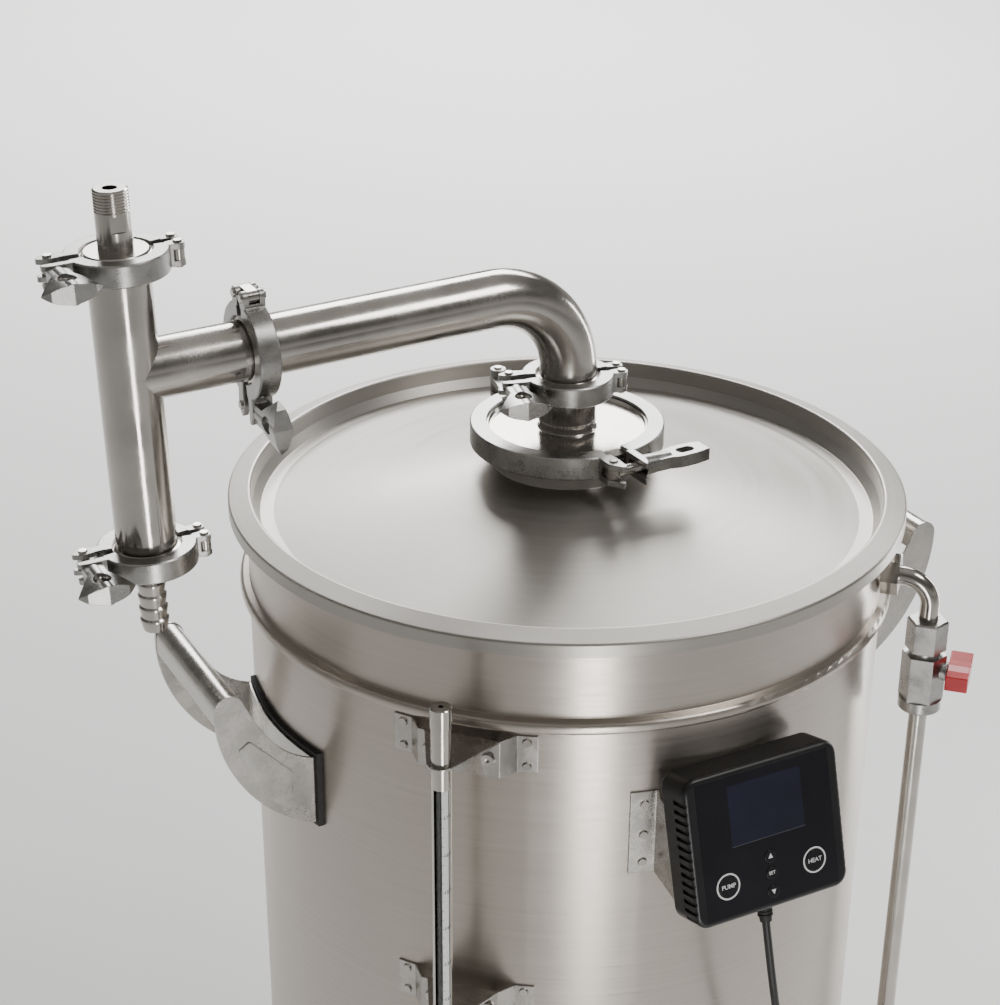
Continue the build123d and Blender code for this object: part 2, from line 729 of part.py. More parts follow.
with BuildPart() as controller_case:
    with BuildSketch(panel_frame.offset(-case_depth)):
        RectangleRounded(case_width, case_height, 10)
    extrude(amount=case_depth)
    front_edges = controller_case.faces().sort_by(Axis(panel_frame.origin, panel_frame.z_dir))[-1].edges()
    fillet(front_edges, 3.6)
    back_edges = controller_case.faces().sort_by(Axis(panel_frame.origin, panel_frame.z_dir))[0].edges()
    fillet(back_edges, 2.0)
    with BuildSketch(panel_frame.offset(-window_sheet)):
        Rectangle(window_width + 0.2, window_height + 0.2)
    extrude(amount=window_sheet + 1, mode=Mode.SUBTRACT)
    with BuildSketch(panel_frame.offset(-case_depth + 2)):
        RectangleRounded(window_width - 5, window_height - 3, 2)
    extrude(amount=case_depth, mode=Mode.SUBTRACT)
    for wall in (-1, 1):
        for rib in range(14):
            with BuildSketch(panel_frame.offset(-13.5)):
                with Locations((wall * case_width / 2, 33 - 5.8 * rib)):
                    RectangleRounded(3.6, 2.6, 1.2)
            extrude(amount=14, mode=Mode.SUBTRACT)
    with BuildSketch(Plane(panel_frame.origin - panel_frame.z_dir * 16, x_dir=(1, 0, 0), z_dir=panel_frame.y_dir)):
        with Locations((2, 0)):
            Circle(3.1)
    extrude(amount=-60, mode=Mode.SUBTRACT)
controller_case.part.label = "controller_case"
export_step(controller_case.part, "parts/controller_case.step")

with BuildPart() as controller_window:
    with BuildSketch(panel_frame.offset(-window_sheet)):
        Rectangle(window_width, window_height)
        for place, size in button_places.values():
            with Locations(place):
                Circle(size + 0.12, mode=Mode.SUBTRACT)
    extrude(amount=window_sheet)
controller_window.part.label = "controller_window"
export_step(controller_window.part, "parts/controller_window.step")

for name, (place, size) in button_places.items():
    with BuildPart() as button:
        with BuildSketch(panel_frame.offset(-window_sheet - 1.7)):
            with Locations(place):
                Circle(size + 0.9)
        extrude(amount=1.5)
        with BuildSketch(panel_frame.offset(-window_sheet - 1.7)):
            with Locations(place):
                Circle(size)
        extrude(amount=window_sheet + 1.7 + 0.5)
        top_edge = button.edges().sort_by(Axis(panel_frame.origin, panel_frame.z_dir))[-1]
        fillet(top_edge, 0.35)
    button.part.label = name
    export_step(button.part, f"parts/{name}.step")

plate_side = 52.0
with BuildPart() as controller_bracket:
    with BuildSketch(panel_frame.offset(-case_depth - 1.2)):
        with Locations((0, -9)):
            Rectangle(2 * plate_side + 2.4, 62)
    extrude(amount=1.2)
    for side in (-1, 1):
        with BuildSketch(Plane.YZ.offset(side * plate_side)):
            Polygon((-212.8, 623), (-212.8, 563), (-242.6, 555.3), (-225.6, 614.4), align=None)
        extrude(amount=side * 1.2)
    with BuildSketch(Plane.XY.offset(563)):
        Circle(body_radius + 1.25)
        Circle(body_radius + 0.05, mode=Mode.SUBTRACT)
        with Locations((-60.5, -210), (60.5, -210)):
            Rectangle(17, 40, mode=Mode.INTERSECT)
    extrude(amount=60)
    for seat in rivet_seats[12:]:
        with BuildSketch(seat.offset(-1)):
            Circle(rivet_radius)
        extrude(amount=4, mode=Mode.SUBTRACT)
controller_bracket.part.label = "controller_bracket"
export_step(controller_bracket.part, "parts/controller_bracket.step")

with BuildPart() as rivets:
    for seat in rivet_seats:
        with BuildSketch(seat.offset(1.3)):
            Circle(3.1)
        extrude(amount=1.3, taper=25)
        with BuildSketch(seat.offset(1.3)):
            Circle(rivet_radius)
        extrude(amount=-4.5)
rivets.part.label = "rivets"
export_step(rivets.part, "parts/rivets.step")

# ---------------------------------------------------------------- controller cable
cable_radius = 2.6
relief_length = 14.0
down_the_face = panel_frame.y_dir * -1
relief_foot = Plane(
    panel_frame.origin
    + panel_frame.x_dir * 2
    + down_the_face * (case_height / 2)
    - panel_frame.z_dir * 16,
    x_dir=(1, 0, 0),
    z_dir=down_the_face,
)
gland_angle = radians(hood_angle)
gland_spot = Vector(226 * cos(gland_angle), 226 * sin(gland_angle), hood_top)
cable_start = relief_foot.origin + down_the_face * relief_length
cable_end = gland_spot + Vector(0, 0, relief_length)

with BuildPart() as cable_reliefs:
    for foot in (relief_foot, Plane(gland_spot)):
        with BuildSketch(foot):
            Circle(5.4)
        extrude(amount=2.0)
        with BuildSketch(foot.offset(2.0)):
            Circle(4.7)
        extrude(amount=relief_length - 2, taper=4)
        for ring in (4.2, 6.6, 9.0):
            with BuildSketch(foot.offset(ring)):
                Circle(4.9)
            extrude(amount=1.1)
        with BuildSketch(foot):
            Circle(3.0)
        extrude(amount=-2.0)
cable_reliefs.part.label = "cable_reliefs"
export_step(cable_reliefs.part, "parts/cable_reliefs.step")

cable_route = [
    cable_start,
    cable_start + down_the_face * 34,
    Vector(10, -271, 459),
    Vector(22, -263, 415),
    Vector(35, -252, 371),
    Vector(48, -243, 326),
    Vector(60, -235, 281),
    Vector(70, -222, 232),
    cable_end + Vector(0, 0, 34),
    cable_end,
]
cable_radii = []
for before, corner, after in zip(cable_route, cable_route[1:], cable_route[2:]):
    run_in = corner - before
    run_out = after - corner
    half_turn = radians(run_in.get_angle(run_out)) / 2
    cable_radii.append(0.45 * min(run_in.length, run_out.length) / tan(half_turn))

with BuildPart() as controller_cable:
    with BuildLine() as cable_line:
        FilletPolyline(*cable_route, radius=cable_radii)
    with BuildSketch(Plane(cable_line.line @ 0, z_dir=cable_line.line % 0)):
        Circle(cable_radius)
    sweep()
controller_cable.part.label = "controller_cable"
export_step(controller_cable.part, "parts/controller_cable.step")
print("cable radii", [round(r, 1) for r in cable_radii])
cable_length = sum(edge.length for edge in cable_line.line.edges())
print("cable volume", controller_cable.part.volume, pi * cable_radius**2 * cable_length)
print("cable length", cable_length, cable_start, cable_end)

# ---------------------------------------------------------------- grain basket
basket_radius = 200.0
with BuildPart() as grain_basket:
    with BuildSketch(Plane.XY.offset(kettle_bottom + 10)):
        Circle(basket_radius)
    extrude(amount=482)
    with BuildSketch(Plane.XY.offset(kettle_bottom + 11)):
        Circle(basket_radius - 0.9)
    extrude(amount=482, mode=Mode.SUBTRACT)
    with BuildSketch(Plane.XY.offset(kettle_bottom + 490)):
        Circle(basket_radius + 5)
        Circle(basket_radius - 0.9, mode=Mode.SUBTRACT)
    extrude(amount=2)
    with BuildSketch(Plane.XY.offset(kettle_bottom + kettle_sheet)):
        Circle(152)
        Circle(150, mode=Mode.SUBTRACT)
    extrude(amount=10 - kettle_sheet)
    for hole_ring, hole_count in ((24, 8), (48, 12), (72, 18), (96, 24), (120, 30), (176, 36)):
        with BuildSketch(Plane.XY.offset(kettle_bottom + 9)):
            with PolarLocations(hole_ring, hole_count):
                Circle(2.5)
        extrude(amount=3, mode=Mode.SUBTRACT)
grain_basket.part.label = "grain_basket"
export_step(grain_basket.part, "parts/grain_basket.step")

# ---------------------------------------------------------------- lid and its seal
slope = tan(radians(bevel))


def ferrule_points(bore, tube, flange, length):
    """Half section of a clamp ferrule: mating face at 0, tube running down to -length."""
    return [
        (bore, 0),
        (flange, 0),
        (flange, -ferrule_edge),
        (tube, -ferrule_edge - (flange - tube) * slope),
        (tube, -length),
        (bore, -length),
    ]


with BuildPart() as lid:
    with BuildSketch(Plane.XZ):
        with BuildLine():
            FilletPolyline(
                (collar_tube_radius - 0.5, rim_height + 24),
                (collar_tube_radius - 0.5, rim_height + 15.8),
                (199.5, rim_height - 14.6),
                (209.0, rim_height - 15.0),
                (213.7, rim_height - 8.0),
                (214.9, rim_height + 3.3),
                (229.5, rim_height - 0.5),
                (229.5, rim_height - lid_hem),
                radius=1.2,
            )
        trace(line_width=lid_sheet)
    revolve(axis=Axis.Z)
    with BuildSketch(Plane.XZ):
        with Locations((0, collar_face)):
            Polygon(*ferrule_points(49.3, collar_tube_radius, collar_ferrule_radius, 18), align=None)
    revolve(axis=Axis.Z)
lid.part.label = "lid"
export_step(lid.part, "parts/lid.step")

with BuildPart() as lid_seal:
    with BuildSketch(Plane.XZ):
        Polygon(
            (218.0, kettle_top),
            (225.0, kettle_top),
            (225.0, rim_height + 0.05),
            (218.0, rim_height + 1.85),
            align=None,
        )
    revolve(axis=Axis.Z)
lid_seal.part.label = "lid_seal"
export_step(lid_seal.part, "parts/lid_seal.step")

# ---------------------------------------------------------------- reducer, gaskets, condenser arm
cap_face = collar_face + gasket
disc_top = rim_height + 40.5
with BuildPart() as reducer_cap:
    with BuildSketch(Plane.XZ):
        Polygon(
            (17.5, cap_face),
            (collar_ferrule_radius, cap_face),
            (collar_ferrule_radius, cap_face + ferrule_edge),
            (54.6, cap_face + ferrule_edge + (collar_ferrule_radius - 54.6) * slope),
            (53.2, cap_face + ferrule_edge + (collar_ferrule_radius - 54.6) * slope),
            (52.4, disc_top),
            (tube_radius, disc_top),
            (tube_radius, spool_face - ferrule_edge - (ferrule_radius - tube_radius) * slope),
            (ferrule_radius, spool_face - ferrule_edge),
            (ferrule_radius, spool_face),
            (17.55, spool_face),
            align=None,
        )
    revolve(axis=Axis.Z)
    fillet(reducer_cap.edges().filter_by(GeomType.CIRCLE).filter_by(
        lambda e: abs(e.radius - tube_radius) < 0.01 and abs(e.center().Z - disc_top) < 0.01), 1.5)
reducer_cap.part.label = "reducer_cap"
export_step(reducer_cap.part, "parts/reducer_cap.step")

arm_joint = Plane(
    column_origin + column_frame.x_dir * arm_clamp_place, x_dir=up_the_column, z_dir=down_the_arm
)
top_joint = Plane(
    column_origin + up_the_column * column_above, x_dir=column_frame.x_dir, z_dir=up_the_column
)
bottom_joint = Plane(
    column_origin - up_the_column * column_below, x_dir=column_frame.x_dir, z_dir=up_the_column
)
elbow_turn = radians(-13)
elbow_joint = Plane(
    (0, 0, spool_face + gasket / 2), x_dir=(cos(elbow_turn), sin(elbow_turn), 0), z_dir=(0, 0, 1)
)
collar_turn = radians(92.5)
collar_joint = Plane(
    (0, 0, collar_face + gasket / 2), x_dir=(cos(collar_turn), sin(collar_turn), 0), z_dir=(0, 0, 1)
)
small_joints = [top_joint, bottom_joint, arm_joint, elbow_joint]

with BuildPart() as ferrule_gaskets:
    for joint in small_joints:
        with BuildSketch(joint.offset(-gasket / 2)):
            Circle(24.2)
            Circle(17.6, mode=Mode.SUBTRACT)
        extrude(amount=gasket)
    with BuildSketch(collar_joint.offset(-gasket / 2)):
        Circle(58.2)
        Circle(49.5, mode=Mode.SUBTRACT)
    extrude(amount=gasket)
ferrule_gaskets.part.label = "ferrule_gaskets"
export_step(ferrule_gaskets.part, "parts/ferrule_gaskets.step")


def make_ferrule(joint, side, length):
    """A 1.5 inch ferrule whose mating face looks back at this side of a joint."""
    out = joint.z_dir * side
    face = joint.origin + out * (gasket / 2)
    section = Plane(face, x_dir=joint.x_dir, z_dir=joint.x_dir.cross(out * -1))
    with BuildPart() as ferrule:
        with BuildSketch(section):
            Polygon(*ferrule_points(17.55, tube_radius, ferrule_radius, length), align=None)
        revolve(axis=Axis(face, out))
    return ferrule.part


with BuildPart() as condenser_arm:
    arm_start = Vector(0, 0, spool_face + gasket)
    arm_end = arm_joint.origin - down_the_arm * (gasket / 2)
    middle = radians((90 - arm_fall) / 2)
    with BuildLine():
        Line(arm_start, (0, 0, elbow_foot))
        ThreePointArc(
            (0, 0, elbow_foot),
            (-elbow_radius * (1 - cos(middle)), 0, elbow_foot + elbow_radius * sin(middle)),
            elbow_end,
        )
        Line(elbow_end, arm_end)
    with BuildSketch(Plane(arm_start)):
        Circle(tube_radius)
        Circle(tube_radius - tube_wall, mode=Mode.SUBTRACT)
    sweep()
    add(make_ferrule(arm_joint, -1, 8))
    add(make_ferrule(elbow_joint, 1, 8))
condenser_arm.part.label = "condenser_arm"
export_step(condenser_arm.part, "parts/condenser_arm.step")

with BuildPart() as column_tee:
    tee_bottom = column_frame.offset(-column_below + gasket / 2)
    with BuildSketch(tee_bottom):
        Circle(tube_radius)
    extrude(amount=column_above + column_below - gasket)
    branch = Plane(column_origin, x_dir=up_the_column, z_dir=column_frame.x_dir)
    with BuildSketch(branch):
        Circle(tube_radius - 0.35)
    extrude(amount=arm_clamp_place - gasket / 2)
    add(make_ferrule(top_joint, -1, 8))
    add(make_ferrule(bottom_joint, 1, 8))
    add(make_ferrule(arm_joint, 1, 8))
    with BuildSketch(tee_bottom):
        Circle(tube_radius - tube_wall)
    extrude(amount=column_above + column_below - gasket, mode=Mode.SUBTRACT)
    with BuildSketch(branch):
        Circle(tube_radius - tube_wall)
    extrude(amount=arm_clamp_place - gasket / 2, mode=Mode.SUBTRACT)
column_tee.part.label = "column_tee"
export_step(column_tee.part, "parts/column_tee.step")

column_section = Plane(column_origin, x_dir=column_frame.x_dir, z_dir=column_frame.y_dir * -1)
column_axis = Axis(column_origin, up_the_column)
cap_rise = (ferrule_radius - 20) * slope

with BuildPart() as threaded_end_cap:
    cap_start = column_above + gasket / 2
    thread = [(10.5, cap_start + 29.5)]
    for turn in range(7):
        root = cap_start + 30.0 + 1.8 * turn
        thread += [(9.6, root), (9.6, root + 0.3), (10.5, root + 0.8), (10.5, root + 1.2)]
    with BuildSketch(column_section):
        Polygon(
            (4.5, cap_start),
            (ferrule_radius, cap_start),
            (ferrule_radius, cap_start + ferrule_edge),
            (20.0, cap_start + ferrule_edge + cap_rise),
            (19.0, cap_start + 5.9),
            (10.5, cap_start + 5.9),
            *thread,
            (9.3, cap_start + 42.7),
            (4.5, cap_start + 42.7),
            align=None,
        )
    revolve(axis=column_axis)
    with BuildSketch(column_frame.offset(cap_start + 18)):
        with Locations((0, 15), (0, -15)):
            Rectangle(40, 11.4)
    extrude(amount=10, mode=Mode.SUBTRACT)
threaded_end_cap.part.label = "threaded_end_cap"
export_step(threaded_end_cap.part, "parts/threaded_end_cap.step")

with BuildPart() as barbed_end_cap:
    cap_start = -column_below - gasket / 2
    barbs = []
    for barb in range(4):
        foot = cap_start - 18 - 8.5 * barb
        barbs += [(8.1, foot), (9.2, foot - 1.2), (9.2, foot - 2.4)]
    with BuildSketch(column_section):
        Polygon(
            (6.0, cap_start),
            (ferrule_radius, cap_start),
            (ferrule_radius, cap_start - ferrule_edge),
            (20.0, cap_start - ferrule_edge - cap_rise),
            (19.0, cap_start - 5.2),
            (9.0, cap_start - 5.2),
            (9.0, cap_start - 15),
            *barbs,
            (7.8, cap_start - 52.7),
            (6.0, cap_start - 52.7),
            align=None,
        )
    revolve(axis=column_axis)
barbed_end_cap.part.label = "barbed_end_cap"
export_step(barbed_end_cap.part, "parts/barbed_end_cap.step")

# ---------------------------------------------------------------- clamps
# Every clamp is drawn about the middle of its joint: x towards the hinge, y towards
# the half that carries the T-bolt, z along the tubes.
pin_radius = 2.0
bolt_radius = 3.5
fork_half = 3.7             # half the slot the T-bolt lies in
small_clamp = {
    "outer": 31.0, "lip": 21.5, "lip_half": 5.5, "groove": 25.7, "half": 7.0,
    "pivot": (-39.0, 7.5), "boss": 4.4, "ear": (-28.0, 7.5, 9.0, 5.6), "toe": (-44.0, 7.0, 2.2),
    "front": (-47.0, -10.0, -5.0), "tip": -28.0,
}
large_clamp = {
    "outer": 65.6, "lip": 54.0, "lip_half": 6.1, "groove": 60.0, "half": 7.75,
    "pivot": (-73.5, 10.5), "boss": 5.0, "ear": (-62.5, 10.5, 9.0, 9.0), "toe": (-82.0, 8.4, 2.2),
    "front": (-86.5, -11.7, -6.4), "tip": -32.0,
}
groove_half = 4.2
large_hinge = 92.0
barrel_radius = 5.5


def clamp_half(size, side):
    """One half ring with its hinge lug and its forked bolt ear."""
    outer = size["outer"]
    half = size["half"]
    pivot = size["pivot"]
    start = radians(8)
    section = Plane((0, 0, 0), x_dir=(cos(start), sin(start), 0), z_dir=(sin(start), -cos(start), 0))
    with BuildPart() as ring:
        with BuildSketch(section):
            Polygon(
                (size["lip"], size["lip_half"]),
                (size["groove"], groove_half),
                (size["groove"], -groove_half),
                (size["lip"], -size["lip_half"]),
                (size["lip"] + 0.4, -half),
                (outer - 0.8, -half),
                (outer, -half + 0.8),
                (outer, half - 0.8),
                (outer - 0.8, half),
                (size["lip"] + 0.4, half),
                align=None,
            )
        revolve(axis=Axis.Z, revolution_arc=164)
        if side < 0:
            mirror(about=Plane.XZ, mode=Mode.REPLACE)
        # bolt ear
        with BuildSketch(Plane.XY.offset(-half)):
            if side > 0:
                ear_x, ear_y, ear_w, ear_h = size["ear"]
                toe_x, toe_y, toe_r = size["toe"]
                with Locations((ear_x, ear_y)):
                    Rectangle(ear_w, ear_h)
                with Locations(pivot):
                    Circle(size["boss"])
                with Locations((toe_x, toe_y)):
                    Circle(toe_r)
                make_hull()
            else:
                reach, face, back = size["front"]
                with Locations(((reach - outer + 4) / 2, (face + back) / 2)):
                    Rectangle(outer - 4 + abs(reach) - 2 * (outer - 4), back - face)
            Circle(outer - 2.6, mode=Mode.SUBTRACT)
        extrude(amount=2 * half)
        if side < 0:
            swing = pivot[1] - size["front"][1]
            with BuildSketch(Plane.XY.offset(-half)):
                with Locations((pivot[0] - 15, pivot[1] - 15)):
                    Rectangle(30, 30)
                with Locations(pivot):
                    Circle(swing, mode=Mode.SUBTRACT)
            extrude(amount=2 * half, mode=Mode.SUBTRACT)
        with BuildSketch(Plane.XY.offset(-fork_half)):
            with Locations((-outer - 20.6, 0)):
                Rectangle(40, 60)
        extrude(amount=2 * fork_half, mode=Mode.SUBTRACT)
        # hinge
        if outer < 40:
            with BuildSketch(Plane.XY.offset(-half)):
                with Locations((28, 6 * side)):
                    Rectangle(4, 6)
                with Locations((35.5, 6 * side)):
                    Circle(4.2)
                make_hull()
                Circle(outer - 2.6, mode=Mode.SUBTRACT)
            extrude(amount=2 * half)
            with BuildSketch(Plane.XY.offset(-3.5)):
                with Locations((outer + 10.6, 0)):
                    Rectangle(20, 30)
            extrude(amount=7.0, mode=Mode.SUBTRACT)
        else:
            if side > 0:
                arms = ((3.6, half - 3.6, 8.9), (-half, half - 3.6, half - 3.6))
            else:
                arms = ((-3.45, 6.9, 6.9),)
            for low, arm_height, knuckle_height in arms:
                with BuildSketch(Plane.XY.offset(low)):
                    with Locations((65, 8.5 * side)):
                        Rectangle(5, 8)
                    with Locations((large_hinge, 0)):
                        Circle(barrel_radius)
                    make_hull()
                    Circle(outer - 2.6, mode=Mode.SUBTRACT)
                extrude(amount=arm_height)
                with BuildSketch(Plane.XY.offset(low)):
                    with Locations((large_hinge, 0)):
                        Circle(barrel_radius)
                extrude(amount=knuckle_height)
        with BuildSketch(Plane.XY.offset(-20)):
            if side > 0:
                with Locations(pivot):
                    Circle(pin_radius + running_gap)
            if outer < 40:
                with Locations((35.5, 6 * side)):
                    Circle(pin_radius + running_gap)
            else:
                with Locations((large_hinge, 0)):
                    Circle(pin_radius + running_gap)
        extrude(amount=40, mode=Mode.SUBTRACT)
    return ring.part


def clamp_pin(place, low, high):
    """A pin with a round head at each end."""
    with BuildPart() as pin:
        with BuildSketch(Plane.XY.offset(low)):
            with Locations(place):
                Circle(pin_radius)
        extrude(amount=high - low)
        for level, way in ((high, 1), (low, -1)):
            with BuildSketch(Plane.XY.offset(level)):
                with Locations(place):
                    Circle(3.0)
            extrude(amount=way * 1.3, taper=20)
    return pin.part


def hinge_link():
    """The plate between the two hinge pins of a small clamp."""
    with BuildPart() as link:
        with BuildSketch(Plane.XY.offset(-3.3)):
            with Locations((35.5, 6), (35.5, -6)):
                Circle(3.9)
            make_hull()
            with Locations((35.5, 6), (35.5, -6)):
                Circle(pin_radius + running_gap, mode=Mode.SUBTRACT)
        extrude(amount=6.6)
    return link.part


def t_bolt(size):
    """Eye bolt with a threaded shank, swinging about its pin."""
    pivot = size["pivot"]
    length = pivot[1] - size["tip"]
    shank = Plane((pivot[0], pivot[1], 0), x_dir=(1, 0, 0), z_dir=(0, 0, 1))
    profile = [(0, 0), (bolt_radius, 0), (bolt_radius, -7)]
    turns = int((length - 9) / 1.5)
    for turn in range(turns):
        crest = -7.4 - 1.5 * turn
        profile += [(3.1, crest), (bolt_radius, crest - 0.5), (bolt_radius, crest - 1.1)]
    profile += [(2.7, -length), (0, -length)]
    with BuildPart() as bolt:
        with BuildSketch(shank):
            Polygon(*profile, align=None)
        revolve(axis=Axis((pivot[0], pivot[1], 0), (0, 1, 0)))
        with BuildSketch(Plane.XY.offset(-3.55)):
            with Locations(pivot):
                Circle(size["boss"] - 0.4)
        extrude(amount=7.1)
        with BuildSketch(Plane.XY.offset(-10)):
            with Locations(pivot):
                Circle(pin_radius + running_gap)
        extrude(amount=20, mode=Mode.SUBTRACT)
    return bolt.part


nut_gap = 0.3


def wing_nut():
    """Cast wing nut: round boss, a window showing the bolt's end, a lens shaped face."""
    axis_x = small_clamp["pivot"][0]
    seat = small_clamp["front"][1] - nut_gap
    with BuildPart() as nut:
        with BuildSketch(Plane.XY.offset(-7)):
            with Locations((axis_x, 0)):
                Polygon(
                    (-6.5, seat), (-6.5, -21.5), (-18, -37.5), (-13, -41.3), (0, -43),
                    (13, -41.3), (18, -37.5), (6.5, -21.5), (6.5, seat), align=None,
                )
        extrude(amount=14)
        with BuildSketch(Plane((axis_x, 0, 0), x_dir=(1, 0, 0), z_dir=(0, -1, 0))):
            Circle(6.5)
            with BuildLine():
                ThreePointArc((-18.5, 0), (0, 5.9), (18.5, 0))
                ThreePointArc((18.5, 0), (0, -5.9), (-18.5, 0))
            make_face()
        extrude(amount=50, mode=Mode.INTERSECT)
        with BuildSketch(Plane.XY.offset(-10)):
            with Locations((axis_x, -29.5)):
                Ellipse(5.6, 6.2)
        extrude(amount=20, mode=Mode.SUBTRACT)
        with BuildSketch(Plane((axis_x, 0, 0), x_dir=(1, 0, 0), z_dir=(0, -1, 0))):
            Circle(bolt_radius + running_gap)
        extrude(amount=30, mode=Mode.SUBTRACT)
    return nut.part


def lever_nut():
    """Long nut with a flat grip pierced by an oval hole."""
    axis_x = large_clamp["pivot"][0]
    seat = large_clamp["front"][1] - nut_gap
    with BuildPart() as nut:
        with BuildSketch(Plane((axis_x, seat, 0), x_dir=(1, 0, 0), z_dir=(0, -1, 0))):
            Circle(7.2)
        extrude(amount=21, taper=4)
        with BuildSketch(Plane.XY.offset(-4.2)):
            with Locations((axis_x, 0)):
                Polygon(
                    (-6, seat - 10), (-6, -30), (-8.2, -38), (-8.2, -50), (-6.6, -61),
                    (6.6, -61), (8.2, -50), (8.2, -38), (6, -30), (6, seat - 10), align=None,
                )
        extrude(amount=8.4)
        with BuildSketch(Plane.XY.offset(-10)):
            with Locations((axis_x, -45.5)):
                SlotOverall(13, 7.6, rotation=90)
        extrude(amount=20, mode=Mode.SUBTRACT)
        with BuildSketch(Plane((axis_x, 0, 0), x_dir=(1, 0, 0), z_dir=(0, -1, 0))):
            Circle(bolt_radius + running_gap)
        extrude(amount=34, mode=Mode.SUBTRACT)
    return nut.part


rear_half = clamp_half(small_clamp, 1)
front_half = clamp_half(small_clamp, -1)
small_bolt = t_bolt(small_clamp)
small_nut = wing_nut()
small_pins = [
    clamp_pin(small_clamp["pivot"], -7.05, 7.05),
    clamp_pin((35.5, 6), -7.05, 7.05),
    clamp_pin((35.5, -6), -7.05, 7.05),
    hinge_link(),
]

with BuildPart() as clamp_rear_halves:
    for joint in small_joints:
        add(joint.location * rear_half)
clamp_rear_halves.part.label = "clamp_rear_halves"
export_step(clamp_rear_halves.part, "parts/clamp_rear_halves.step")

with BuildPart() as clamp_front_halves:
    for joint in small_joints:
        add(joint.location * front_half)
clamp_front_halves.part.label = "clamp_front_halves"
export_step(clamp_front_halves.part, "parts/clamp_front_halves.step")

with BuildPart() as clamp_pins:
    for joint in small_joints:
        for piece in small_pins:
            add(joint.location * piece)
    add(collar_joint.location * clamp_pin(large_clamp["pivot"], -7.8, 7.8))
    add(collar_joint.location * clamp_pin((large_hinge, 0), -7.8, 12.55))
clamp_pins.part.label = "clamp_pins"
export_step(clamp_pins.part, "parts/clamp_pins.step")

for name, joint in zip(("top", "bottom", "arm", "elbow"), small_joints):
    placed_bolt = joint.location * small_bolt
    placed_bolt.label = f"t_bolt_{name}"
    export_step(placed_bolt, f"parts/t_bolt_{name}.step")
    placed_nut = joint.location * small_nut
    placed_nut.label = f"wing_nut_{name}"
    export_step(placed_nut, f"parts/wing_nut_{name}.step")

for name, piece in (
    ("lever_clamp_rear_half", clamp_half(large_clamp, 1)),
    ("lever_clamp_front_half", clamp_half(large_clamp, -1)),
    ("lever_clamp_t_bolt", t_bolt(large_clamp)),
    ("lever_nut", lever_nut()),
):
    placed = collar_joint.location * piece
    placed.label = name
    export_step(placed, f"parts/{name}.step")

for name, joint in zip(("top", "bottom", "arm", "elbow", "collar"), small_joints + [collar_joint]):
    size = large_clamp if name == "collar" else small_clamp
    hinge_spot = joint.origin + joint.x_dir * size["pivot"][0] + joint.y_dir * size["pivot"][1]
    print("bolt pivot", name, hinge_spot, "about", joint.z_dir, "nut axis", joint.y_dir)
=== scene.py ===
import json
import bpy
from math import cos, pi, radians, sin
from mathutils import Matrix, Vector


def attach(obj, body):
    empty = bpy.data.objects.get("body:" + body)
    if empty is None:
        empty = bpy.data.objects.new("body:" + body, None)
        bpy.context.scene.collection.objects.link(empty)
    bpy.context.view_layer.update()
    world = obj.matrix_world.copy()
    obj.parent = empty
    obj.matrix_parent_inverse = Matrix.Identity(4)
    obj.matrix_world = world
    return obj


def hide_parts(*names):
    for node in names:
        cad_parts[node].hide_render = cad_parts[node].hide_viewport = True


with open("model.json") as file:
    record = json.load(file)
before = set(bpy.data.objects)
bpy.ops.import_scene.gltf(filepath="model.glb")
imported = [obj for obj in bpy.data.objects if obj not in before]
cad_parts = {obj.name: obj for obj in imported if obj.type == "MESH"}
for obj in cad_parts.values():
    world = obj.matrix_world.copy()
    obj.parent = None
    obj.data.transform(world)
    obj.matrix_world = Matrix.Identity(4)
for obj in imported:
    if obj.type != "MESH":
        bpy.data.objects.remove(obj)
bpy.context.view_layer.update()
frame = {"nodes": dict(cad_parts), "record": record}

# ---------------------------------------------------------------- sizes, in metres
RIM = 0.735                     # floor to the lid's rim

# the controller's face: its centre and its own three directions
LEAN = radians(16)
FACE = Vector((0, -0.2585, RIM - 0.134))
FACE_RIGHT = Vector((1, 0, 0))
FACE_UP = Vector((0, sin(LEAN), cos(LEAN)))
FACE_OUT = Vector((0, -cos(LEAN), sin(LEAN)))

# the controller's cable: its strain relief above, its gland on the base's hood below
CABLE_RADIUS = 0.0026
RELIEF_ASIDE = 0.002
RELIEF_DROP = 0.0485
RELIEF_BEHIND = 0.016
RELIEF_LENGTH = 0.014
HOOD_ANGLE = radians(-70)
HOOD_RADIUS = 0.226
HOOD_TOP = 0.150
STRAIGHT_END = 0.034            # the cable leaves both ends straight for this far

# the sight tube
SIGHT_ANGLE = radians(-135.7)
SIGHT_RADIUS = 0.260
SIGHT = Vector((SIGHT_RADIUS * cos(SIGHT_ANGLE), SIGHT_RADIUS * sin(SIGHT_ANGLE), 0))

# the lid's collar and the spool on its cap
SPOOL_RADIUS = 0.01905
SPOOL_FOOT = RIM + 0.0464
COLLAR_RADIUS = 0.0508
COLLAR_FOOT = RIM + 0.0268


